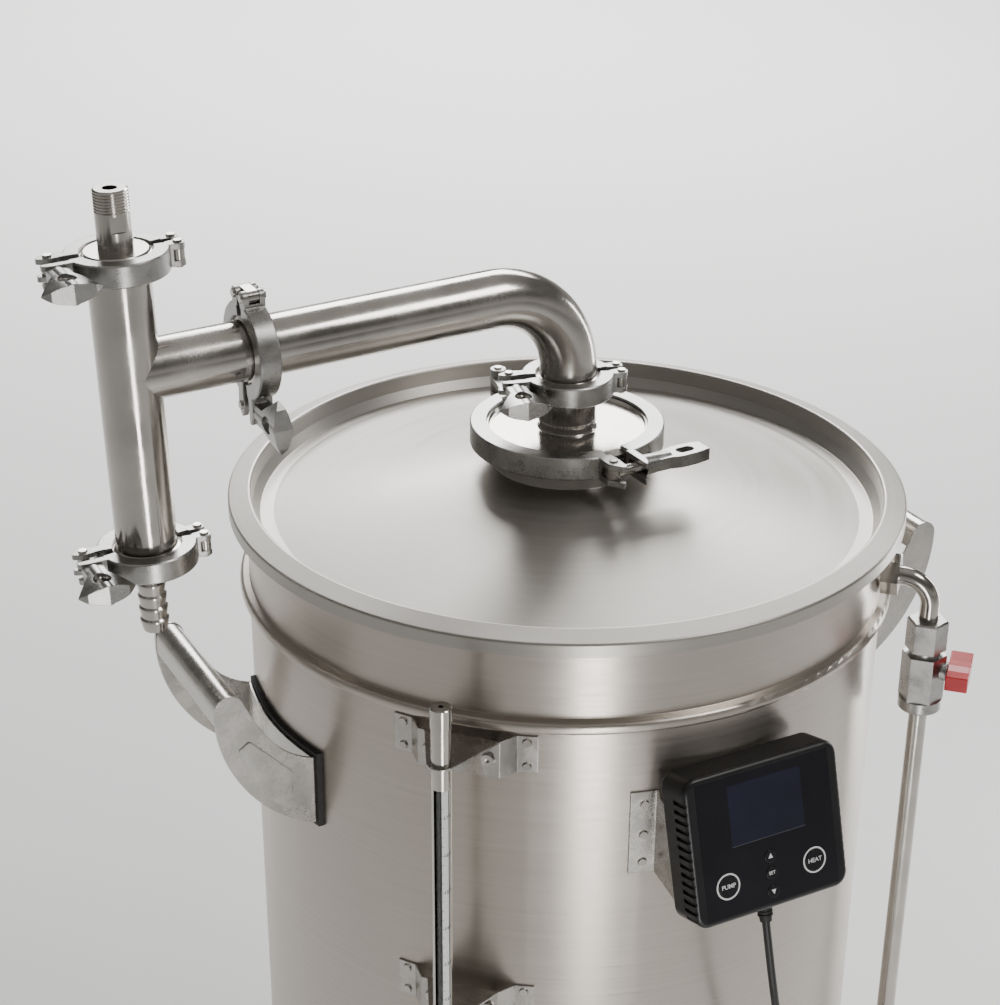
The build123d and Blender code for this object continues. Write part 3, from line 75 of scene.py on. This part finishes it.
# ---------------------------------------------------------------- camera
def place_camera():
    """A long lens from the left front, above the lid, looking down."""
    turn, pitch, roll = radians(-2.478), radians(26.891), radians(0.128)
    spin = Matrix.Rotation(radians(-30), 3, "Z")
    forward = spin @ Vector((sin(turn) * cos(pitch), cos(turn) * cos(pitch), -sin(pitch)))
    right = spin @ Vector((cos(turn), -sin(turn), 0))
    up = right.cross(forward)
    right, up = cos(roll) * right + sin(roll) * up, cos(roll) * up - sin(roll) * right
    camera = bpy.data.objects.new("camera", bpy.data.cameras.new("camera"))
    bpy.context.collection.objects.link(camera)
    axes = Matrix((right, up, -forward)).transposed()
    camera.matrix_world = Matrix.Translation((-0.6571, -1.1381, RIM + 0.610)) @ axes.to_4x4()
    camera.data.sensor_width = 36
    camera.data.lens = 75.78
    camera.data.shift_x = 0.01747
    camera.data.shift_y = 0.04977
    camera.data.clip_end = 200
    bpy.context.scene.camera = camera


# ---------------------------------------------------------------- cable
def cable_route():
    """The route of the controller's cable from its strain relief to the base."""
    relief = FACE + Vector((RELIEF_ASIDE, 0, 0)) - FACE_UP * RELIEF_DROP - FACE_OUT * RELIEF_BEHIND
    start = relief - FACE_UP * RELIEF_LENGTH
    end = Vector((HOOD_RADIUS * cos(HOOD_ANGLE), HOOD_RADIUS * sin(HOOD_ANGLE), HOOD_TOP))
    return [
        start,
        start - FACE_UP * STRAIGHT_END,
        Vector((0.010, -0.271, 0.459)),
        Vector((0.022, -0.263, 0.415)),
        Vector((0.035, -0.252, 0.371)),
        Vector((0.048, -0.243, 0.326)),
        Vector((0.060, -0.235, 0.281)),
        Vector((0.070, -0.222, 0.232)),
        end + Vector((0, 0, STRAIGHT_END)),
        end,
    ]


def curve_length(points, steps=400):
    """Length of the quadratic B-spline that these control points make, ends clamped."""
    spans = len(points) - 2
    knots = [0, 0, 0] + list(range(1, spans)) + [spans] * 3

    def basis(i, k, t):
        if k == 0:
            return 1.0 if knots[i] <= t < knots[i + 1] else 0.0
        a = knots[i + k] - knots[i]
        b = knots[i + k + 1] - knots[i + 1]
        left = (t - knots[i]) / a * basis(i, k - 1, t) if a else 0.0
        right = (knots[i + k + 1] - t) / b * basis(i + 1, k - 1, t) if b else 0.0
        return left + right

    def at(t):
        return sum((p * basis(i, 2, t) for i, p in enumerate(points)), Vector())

    just_inside = 0.999999
    line = [at(spans * n / steps * just_inside) for n in range(steps + 1)]
    return sum((b - a).length for a, b in zip(line, line[1:]))


def make_cable():
    points = cable_route()
    data = bpy.data.curves.new("controller_lead", "CURVE")
    data.dimensions = "3D"
    data.resolution_u = 12
    data.bevel_depth = 1.0      # times each point's radius
    data.bevel_resolution = 4
    data.use_fill_caps = True
    spline = data.splines.new("NURBS")
    spline.points.add(len(points) - 1)
    for slot, p in zip(spline.points, points):
        slot.co = (*p, 1)
        slot.radius = CABLE_RADIUS
    spline.order_u = 3
    spline.use_endpoint_u = True
    lead = bpy.data.objects.new("controller_lead", data)
    bpy.context.collection.objects.link(lead)
    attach(lead, "brewer")
    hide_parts("controller_cable")
    curve_length(points)
    return lead


# ---------------------------------------------------------------- materials
class Nodes:
    """Short hand for building one material's node tree."""

    def __init__(self, name):
        self.material = bpy.data.materials.new(name)
        self.material.use_nodes = True
        self.tree = self.material.node_tree
        self.shader = self.tree.nodes["Principled BSDF"]

    def add(self, kind, inputs=None, **settings):
        node = self.tree.nodes.new(kind)
        for key, value in settings.items():
            setattr(node, key, value)
        for key, value in (inputs or {}).items():
            if isinstance(value, bpy.types.NodeSocket):
                self.tree.links.new(value, node.inputs[key])
            else:
                node.inputs[key].default_value = value
        return node

    def math(self, operation, a, b):
        return self.add("ShaderNodeMath", {0: a, 1: b}, operation=operation).outputs[0]

    def ramp(self, value, low, high, start, end):
        """Maps value from low..high to start..end, without going past either end."""
        return self.add(
            "ShaderNodeMapRange",
            {"Value": value, "From Min": low, "From Max": high, "To Min": start, "To Max": end},
        ).outputs[0]

    def colours(self, value, *stops):
        node = self.add("ShaderNodeValToRGB", {"Fac": value})
        ramp = node.color_ramp
        while len(ramp.elements) < len(stops):
            ramp.elements.new(0.5)
        for element, (place, colour) in zip(ramp.elements, stops):
            element.position = place
            element.color = (*colour, 1)
        return node.outputs["Color"]

    def place(self):
        return self.add("ShaderNodeTexCoord").outputs["Object"]

    def noise(self, vector, scale, detail=3.0, rough=0.5):
        inputs = {"Vector": vector, "Scale": scale, "Detail": detail, "Roughness": rough}
        return self.add("ShaderNodeTexNoise", inputs).outputs["Fac"]

    def stretch(self, vector, scale):
        return self.add("ShaderNodeMapping", {"Vector": vector, "Scale": scale}).outputs[0]

    def round_about(self, vector):
        """Coordinates round the Z axis: (angle, radius, height)."""
        x, y, z = self.add("ShaderNodeSeparateXYZ", {0: vector}).outputs
        angle = self.math("ARCTAN2", y, x)
        square = self.math("ADD", self.math("MULTIPLY", x, x), self.math("MULTIPLY", y, y))
        radius = self.math("SQRT", square, 0.0)
        return self.add("ShaderNodeCombineXYZ", {0: angle, 1: radius, 2: z}).outputs[0]

    def bump(self, height, strength, distance, normal=None):
        inputs = {"Height": height, "Strength": strength, "Distance": distance}
        if normal is not None:
            inputs["Normal"] = normal
        return self.add("ShaderNodeBump", inputs).outputs[0]

    def set(self, **values):
        for key, value in values.items():
            socket = self.shader.inputs[key.replace("_", " ")]
            if isinstance(value, bpy.types.NodeSocket):
                self.tree.links.new(value, socket)
            else:
                socket.default_value = value


def brushed(name, light, dark, rough, spread, lines, grain):
    """Brushed steel. lines stretches the grain along (angle, radius, height) round the kettle."""
    n = Nodes(name)
    here = n.place()
    polar = n.round_about(here)
    fine = n.noise(n.stretch(polar, lines), 1.0, 4.0, 0.65)
    wide = n.noise(n.stretch(polar, tuple(v * 0.12 for v in lines)), 1.0, 3.0)
    cloud = n.noise(here, 6.0, 4.0, 0.6)
    mixed = n.math("ADD", n.math("MULTIPLY", fine, 0.5), n.math("MULTIPLY", wide, 0.5))
    tone = n.math("ADD", n.math("MULTIPLY", mixed, 0.75), n.math("MULTIPLY", cloud, 0.25))
    dull = n.ramp(mixed, 0.3, 0.7, rough - spread, rough + spread)
    n.set(
        Base_Color=n.colours(tone, (0.32, dark), (0.68, light)),
        Metallic=1.0,
        Roughness=n.math("ADD", dull, n.ramp(cloud, 0.35, 0.65, -0.03, 0.04)),
        Anisotropic=0.55,
        Anisotropic_Rotation=0.25,
        Tangent=n.add("ShaderNodeTangent", direction_type="RADIAL", axis="Z").outputs[0],
        Normal=n.bump(fine, grain, 0.00004),
    )
    return n.material


def polished(name, light, dark, rough, wave=0.12, scratch=0.10):
    """Polished tube: faint dull bands, fine wipe marks and a slight waviness."""
    n = Nodes(name)
    here = n.place()
    cloud = n.noise(here, 22.0, 4.0, 0.6)
    marks = n.noise(n.stretch(here, (900, 900, 90)), 1.0, 3.0, 0.7)
    swell = n.noise(here, 14.0, 2.0)
    dull = n.ramp(cloud, 0.3, 0.7, rough * 0.6, rough * 1.6)
    n.set(
        Base_Color=n.colours(cloud, (0.3, dark), (0.7, light)),
        Metallic=1.0,
        Roughness=n.math("ADD", dull, n.ramp(marks, 0.4, 0.75, 0.0, scratch)),
        Normal=n.bump(marks, 0.05, 0.00003, n.bump(swell, wave, 0.0016)),
    )
    return n.material


def cast(name, light, dark, rough):
    """Investment cast and tumbled steel: soft edges, a fine orange peel and dull hollows."""
    n = Nodes(name)
    here = n.place()
    soft = n.add("ShaderNodeBevel", {"Radius": 0.0007}, samples=4).outputs[0]
    peel = n.noise(here, 1300.0, 4.0, 0.6)
    cloud = n.noise(here, 60.0, 4.0, 0.6)
    tone = n.math("ADD", n.math("MULTIPLY", peel, 0.35), n.math("MULTIPLY", cloud, 0.65))
    n.set(
        Base_Color=n.colours(tone, (0.34, dark), (0.66, light)),
        Metallic=1.0,
        Roughness=n.ramp(tone, 0.3, 0.7, rough - 0.09, rough + 0.10),
        Normal=n.bump(peel, 0.22, 0.00022, soft),
    )
    return n.material


def moulded(name, colour, shade, rough, texture, depth, scale=1800.0, coat=0.0):
    """Moulded plastic, rubber or paint with its fine surface texture."""
    n = Nodes(name)
    here = n.place()
    fine = n.noise(here, scale, 3.0, 0.6)
    cloud = n.noise(here, 30.0, 4.0, 0.6)
    dull = n.ramp(cloud, 0.3, 0.7, rough - 0.05, rough + 0.06)
    n.set(
        Base_Color=n.colours(cloud, (0.3, colour), (0.7, shade)),
        Roughness=n.math("ADD", dull, n.ramp(fine, 0.3, 0.7, -0.03, 0.03)),
        Normal=n.bump(fine, texture, depth),
        Coat_Weight=coat,
        Coat_Roughness=0.08,
    )
    return n.material


def clear_glass():
    n = Nodes("clear_glass")
    film = n.noise(n.place(), 120.0, 3.0)
    n.set(
        Base_Color=n.colours(film, (0.3, (0.90, 0.95, 0.94)), (0.7, (0.96, 0.98, 0.98))),
        Roughness=n.ramp(film, 0.3, 0.7, 0.02, 0.09),
        Transmission_Weight=1.0,
        IOR=1.47,
    )
    return n.material


def printed(name, light, dark, rough=0.45):
    """Printing ink, a little uneven."""
    n = Nodes(name)
    spots = n.noise(n.place(), 900.0, 3.0)
    n.set(
        Base_Color=n.colours(spots, (0.3, dark), (0.7, light)),
        Roughness=n.ramp(spots, 0.3, 0.7, rough - 0.08, rough + 0.08),
    )
    return n.material


def make_looks():
    """One material for each slot of the record."""
    return {
        "kettle_steel": brushed(
            "kettle_steel", (0.60, 0.555, 0.505), (0.47, 0.43, 0.385),
            rough=0.34, spread=0.07, lines=(5, 40, 2600), grain=0.25,
        ),
        "lid_steel": brushed(
            "lid_steel", (0.50, 0.48, 0.45), (0.41, 0.39, 0.36),
            rough=0.40, spread=0.04, lines=(3, 1500, 900), grain=0.10,
        ),
        "polished_steel": polished("polished_steel", (0.60, 0.575, 0.54), (0.47, 0.45, 0.42), rough=0.14),
        "cast_steel": cast("cast_steel", (0.50, 0.495, 0.48), (0.30, 0.295, 0.285), rough=0.30),
        "bracket_steel": cast("bracket_steel", (0.60, 0.58, 0.55), (0.44, 0.425, 0.40), rough=0.26),
        "base_paint": moulded(
            "base_paint", (0.05, 0.05, 0.053), (0.075, 0.075, 0.08),
            rough=0.5, texture=0.3, depth=0.0001, scale=700.0,
        ),
        "black_plastic": moulded(
            "black_plastic", (0.004, 0.004, 0.005), (0.010, 0.010, 0.012),
            rough=0.38, texture=0.25, depth=0.00005,
        ),
        "window_plastic": moulded(
            "window_plastic", (0.002, 0.002, 0.005), (0.004, 0.004, 0.009),
            rough=0.14, texture=0.03, depth=0.00001, scale=600.0, coat=0.15,
        ),
        "key_plastic": moulded(
            "key_plastic", (0.003, 0.003, 0.006), (0.006, 0.006, 0.010),
            rough=0.22, texture=0.05, depth=0.00001, scale=900.0, coat=0.1,
        ),
        "red_lever": moulded(
            "red_lever", (0.50, 0.004, 0.010), (0.62, 0.010, 0.018),
            rough=0.36, texture=0.12, depth=0.00004, scale=1200.0, coat=0.2,
        ),
        "silicone": moulded(
            "silicone", (0.62, 0.61, 0.58), (0.74, 0.73, 0.70),
            rough=0.55, texture=0.12, depth=0.00004,
        ),
        "black_rubber": moulded(
            "black_rubber", (0.012, 0.012, 0.012), (0.026, 0.025, 0.024),
            rough=0.62, texture=0.35, depth=0.0001,
        ),
        "cable_rubber": moulded(
            "cable_rubber", (0.009, 0.009, 0.010), (0.020, 0.020, 0.021),
            rough=0.42, texture=0.2, depth=0.00006, scale=1500.0,
        ),
        "drain_paint": moulded(
            "drain_paint", (0.40, 0.02, 0.015), (0.52, 0.03, 0.02),
            rough=0.38, texture=0.15, depth=0.00006, scale=900.0, coat=0.15,
        ),
        "sight_glass": clear_glass(),
    }


def dress_frame(looks):
    """Gives every CAD node the material of its slot."""
    for entry in frame["record"]["subparts"]:
        materials = frame["nodes"][entry["node"]].data.materials
        materials.clear()
        materials.append(looks[entry["material_slot"]])


# ---------------------------------------------------------------- printed pieces
def mesh_piece(name, verts, faces, look, body, smooth=False):
    data = bpy.data.meshes.new(name)
    data.from_pydata([tuple(v) for v in verts], [], faces)
    data.validate()
    if smooth:
        data.shade_smooth()
    piece = bpy.data.objects.new(name, data)
    bpy.context.collection.objects.link(piece)
    data.materials.append(look)
    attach(piece, body)


def on_face(u, v, w):
    """Millimetres across, up and out of the controller's face, as a point in metres."""
    return FACE + (FACE_RIGHT * u + FACE_UP * v + FACE_OUT * w) / 1000


def ring_print(name, centre, look, count=72):
    """A thin raised printed ring on the controller's face, in millimetres."""
    inner, outer = 7.45, 8.5
    low, high = -0.02, 0.10
    verts, faces = [], []
    for radius, height in ((inner, low), (inner, high), (outer, high), (outer, low)):
        for k in range(count):
            a = 2 * pi * k / count
            verts.append(on_face(centre[0] + radius * cos(a), centre[1] + radius * sin(a), height))
    for band in range(4):
        other = (band + 1) % 4
        for k in range(count):
            j = (k + 1) % count
            faces.append((band * count + k, band * count + j, other * count + j, other * count + k))
    mesh_piece(name, verts, faces, look, "brewer")


def plate_print(name, outline, low, high, look, body):
    """A thin flat printed shape on the controller's face, in millimetres."""
    count = len(outline)
    verts = [on_face(u, v, low) for u, v in outline] + [on_face(u, v, high) for u, v in outline]
    faces = [tuple(range(count))[::-1], tuple(range(count, 2 * count))]
    for k in range(count):
        j = (k + 1) % count
        faces.append((k, j, count + j, count + k))
    mesh_piece(name, verts, faces, look, body)


def rectangle(left, bottom, right, top):
    return [(left, bottom), (right, bottom), (right, top), (left, top)]


def letters(word, size):
    """The outline of a word as a flat mesh, centred, in millimetres."""
    data = bpy.data.curves.new("word", "FONT")
    data.body = word
    data.size = size
    data.align_x = "CENTER"
    data.align_y = "CENTER"
    data.offset = size * 0.008
    data.extrude = 0.03
    holder = bpy.data.objects.new("word", data)
    bpy.context.collection.objects.link(holder)
    bpy.context.view_layer.update()
    depsgraph = bpy.context.evaluated_depsgraph_get()
    flat = bpy.data.meshes.new_from_object(holder.evaluated_get(depsgraph))
    verts = [v.co.copy() for v in flat.vertices]
    faces = [tuple(p.vertices) for p in flat.polygons]
    bpy.data.objects.remove(holder)
    bpy.data.meshes.remove(flat)
    return verts, faces


def face_word(name, word, centre, size, height, look, body):
    verts, faces = letters(word, size)
    placed = [on_face(centre[0] + v.x, centre[1] + v.y, height + v.z) for v in verts]
    mesh_piece(name, placed, faces, look, body)


def print_controller(white):
    """The white marks of the keys and the screen behind the window, in millimetres on the face."""
    key_top = 0.5
    pump, heat, choose = (-32.0, -25.0), (32.0, -25.5), (0.0, -25.0)
    ring_print("pump_ring", pump, white)
    ring_print("heat_ring", heat, white)
    face_word("pump_word", "PUMP", pump, 4.1, key_top, white, "pump_key")
    face_word("heat_word", "HEAT", heat, 4.1, key_top, white, "heat_key")
    face_word("set_word", "SET", choose, 3.2, key_top, white, "set_key")
    up = [(-1.7, -15.2), (1.7, -15.2), (0, -12.0)]
    down = [(0, -39.0), (1.7, -35.8), (-1.7, -35.8)]
    low, high = key_top - 0.02, key_top + 0.05
    plate_print("up_arrow", up, low, high, white, "up_key")
    plate_print("down_arrow", down, low, high, white, "down_key")
    screen = moulded(
        "screen_glass", (0.005, 0.006, 0.018), (0.009, 0.010, 0.030),
        rough=0.10, texture=0.02, depth=0.00001, scale=300.0, coat=0.3,
    )
    edge = printed("screen_edge", (0.10, 0.10, 0.13), (0.07, 0.07, 0.09), rough=0.3)
    glass = rectangle(-26, -1, 27.5, 38)
    frame_line = rectangle(-26.3, -1.35, 27.8, -1.0)
    plate_print("screen", glass, -0.05, 0.04, screen, "brewer")
    plate_print("screen_edge_low", frame_line, -0.05, 0.08, edge, "brewer")


# ---------------------------------------------------------------- sight scale
SCALE_MIDDLE = radians(-88)     # the side of the glass that the scale is on
SCALE_HALF = radians(27)
SCALE_BACK = 0.00480
SCALE_FRONT = 0.00505
PRINT_RADIUS = 0.00508
SCALE_LOW = 0.216
SCALE_HIGH = 0.6875
NUMBER_STEP = 27.3              # millimetres between two numbers
NUMBER_ZERO = 163.4             # millimetres from the floor
TICK_TOP = 640


def on_tube(angle, radius, height):
    return SIGHT + Vector((radius * cos(angle), radius * sin(angle), height))


def scale_strip(white):
    """The white strip behind the scale's numbers."""
    steps = 10
    verts, faces = [], []
    for radius in (SCALE_BACK, SCALE_FRONT):
        for level in (SCALE_LOW, SCALE_HIGH):
            for k in range(steps + 1):
                angle = SCALE_MIDDLE - SCALE_HALF + 2 * SCALE_HALF * k / steps
                verts.append(on_tube(angle, radius, level))
    n = steps + 1
    for k in range(steps):
        faces.append((k, k + 1, n + k + 1, n + k))
        faces.append((2 * n + k, 3 * n + k, 3 * n + k + 1, 2 * n + k + 1))
        faces.append((k, 2 * n + k, 2 * n + k + 1, k + 1))
        faces.append((n + k, n + k + 1, 3 * n + k + 1, 3 * n + k))
    faces.append((0, n, 3 * n, 2 * n))
    faces.append((n - 1, 3 * n - 1, 4 * n - 1, 2 * n - 1))
    mesh_piece("scale_strip", verts, faces, white, "brewer")


def scale_numbers(ink):
    """The numbers and their ticks, drawn flat in millimetres and wrapped round the glass."""
    tick_left, tick_half, tick_high = -2.3, 0.16, 0.05
    long_tick, short_tick = 1.9, 1.0
    flat, faces = [], []
    for number in range(2, 18):
        level = NUMBER_STEP * number + NUMBER_ZERO
        word, word_faces = letters(str(number), 3.6)
        start = len(flat)
        flat += [(v.x + 0.35, v.y + level, v.z) for v in word]
        faces += [tuple(start + i for i in f) for f in word_faces]
        for quarter in range(4):
            width = long_tick if quarter == 0 else short_tick
            tick = level + NUMBER_STEP * quarter / 4
            if tick > TICK_TOP:
                continue
            a = len(flat)
            for x in (tick_left, tick_left + width):
                for y in (tick - tick_half, tick + tick_half):
                    for z in (0.0, tick_high):
                        flat.append((x, y, z))
            faces += [
                (a, a + 1, a + 3, a + 2), (a + 4, a + 6, a + 7, a + 5), (a, a + 4, a + 5, a + 1),
                (a + 2, a + 3, a + 7, a + 6), (a, a + 2, a + 6, a + 4), (a + 1, a + 5, a + 7, a + 3),
            ]
    placed = []
    for x, y, z in flat:
        angle = SCALE_MIDDLE + (x / 1000) / PRINT_RADIUS
        placed.append(on_tube(angle, PRINT_RADIUS + z / 1000, y / 1000))
    mesh_piece("scale_numbers", placed, faces, ink, "brewer")


# ---------------------------------------------------------------- welds
def weld_ring(name, height, radius, bead, look, ripples=90, turns=10):
    """A laid weld bead round an upright tube on the lid, with its ripples."""
    axis = Vector((0, 0, 1))
    side = axis.orthogonal().normalized()
    other = axis.cross(side)
    count = ripples * 4
    verts, faces = [], []
    for k in range(count):
        a = 2 * pi * k / count
        swell = 1 + 0.14 * sin(a * ripples) + 0.06 * sin(a * 7)
        spoke = side * cos(a) + other * sin(a)
        for t in range(turns):
            b = 2 * pi * t / turns
            out = radius + bead * 0.32 * swell * cos(b)
            verts.append(Vector((0, 0, height)) + spoke * out + axis * bead * swell * sin(b))
    for k in range(count):
        k2 = (k + 1) % count
        for t in range(turns):
            t2 = (t + 1) % turns
            faces.append((k * turns + t, k2 * turns + t, k2 * turns + t2, k * turns + t2))
    mesh_piece(name, verts, faces, look, "lid", smooth=True)


# ---------------------------------------------------------------- stage
def stage_plane():
    data = bpy.data.meshes.new("floor")
    half = 60
    corners = [(-half, -half, 0), (half, -half, 0), (half, half, 0), (-half, half, 0)]
    data.from_pydata(corners, [], [(0, 1, 2, 3)])
    floor = bpy.data.objects.new("floor", data)
    bpy.context.collection.objects.link(floor)
    n = Nodes("floor_paper")
    n.set(Base_Color=(0.88, 0.88, 0.875, 1), Roughness=0.75)
    data.materials.append(n.material)


def light(name, place, aim, width, height, power, colour=(1, 1, 1)):
    data = bpy.data.lights.new(name, "AREA")
    data.shape = "RECTANGLE"
    data.size = width
    data.size_y = height
    data.energy = power
    data.color = colour
    lamp = bpy.data.objects.new(name, data)
    bpy.context.collection.objects.link(lamp)
    lamp.location = place
    lamp.rotation_euler = (Vector(aim) - Vector(place)).to_track_quat("-Z", "Y").to_euler()
    lamp.visible_camera = False


def softbox(name, bearing, distance, width, low, high, power, colour=(1, 1, 1)):
    """An upright soft box that stands round the kettle and faces it."""
    a = radians(bearing)
    where = Vector((distance * cos(a), distance * sin(a), (low + high) / 2))
    light(name, where, (0, 0, where.z), width, high - low, power, colour)


def sky():
    """A pale horizon, darker above it and pale again overhead, so that the steel has contrast."""
    world = bpy.data.worlds.new("studio")
    bpy.context.scene.world = world
    world.use_nodes = True
    tree = world.node_tree
    back = tree.nodes["Background"]
    coords = tree.nodes.new("ShaderNodeTexCoord")
    parts = tree.nodes.new("ShaderNodeSeparateXYZ")
    ramp = tree.nodes.new("ShaderNodeValToRGB")
    tree.links.new(coords.outputs["Generated"], parts.inputs[0])
    tree.links.new(parts.outputs["Z"], ramp.inputs["Fac"])
    tree.links.new(ramp.outputs["Color"], back.inputs["Color"])
    stops = ((0.0, 1.0), (0.10, 0.80), (0.32, 0.26), (0.60, 0.32), (1.0, 1.0))
    elements = ramp.color_ramp.elements
    while len(elements) < len(stops):
        elements.new(0.5)
    for element, (place, level) in zip(elements, stops):
        element.position = place
        element.color = (level, level * 0.96, level * 0.91, 1)
    back.inputs["Strength"].default_value = 0.45


def light_studio():
    light("back_wash", (2.1, 4.1, 3.2), (2.1, 4.1, 0), 2.8, 4.6, 430)
    softbox("behind_lens", -110, 1.05, 0.16, 0.03, 0.62, 3.2, (1.0, 0.99, 0.97))
    softbox("right_edge", 4, 1.20, 0.10, 0.03, 1.10, 5)
    light("key", (0.9, -1.2, 2.6), (0, 0, 0.6), 0.7, 0.7, 17, (1.0, 0.985, 0.96))


# ---------------------------------------------------------------- the scene
place_camera()
lead = make_cable()
looks = make_looks()
dress_frame(looks)
lead.data.materials.append(looks["cable_rubber"])

print_controller(printed("print_white", (0.86, 0.87, 0.88), (0.74, 0.75, 0.76)))
scale_strip(printed("scale_white", (0.84, 0.85, 0.84), (0.74, 0.75, 0.74), rough=0.35))
scale_numbers(printed("print_black", (0.030, 0.030, 0.032), (0.015, 0.015, 0.016)))

weld = polished("weld_bead", (0.70, 0.67, 0.62), (0.50, 0.46, 0.42), rough=0.22, wave=0.3, scratch=0.2)
weld_ring("spool_weld", SPOOL_FOOT, SPOOL_RADIUS, 0.0011, weld)
weld_ring("collar_weld", COLLAR_FOOT, COLLAR_RADIUS, 0.0009, weld, ripples=160)

stage_plane()
sky()
light_studio()
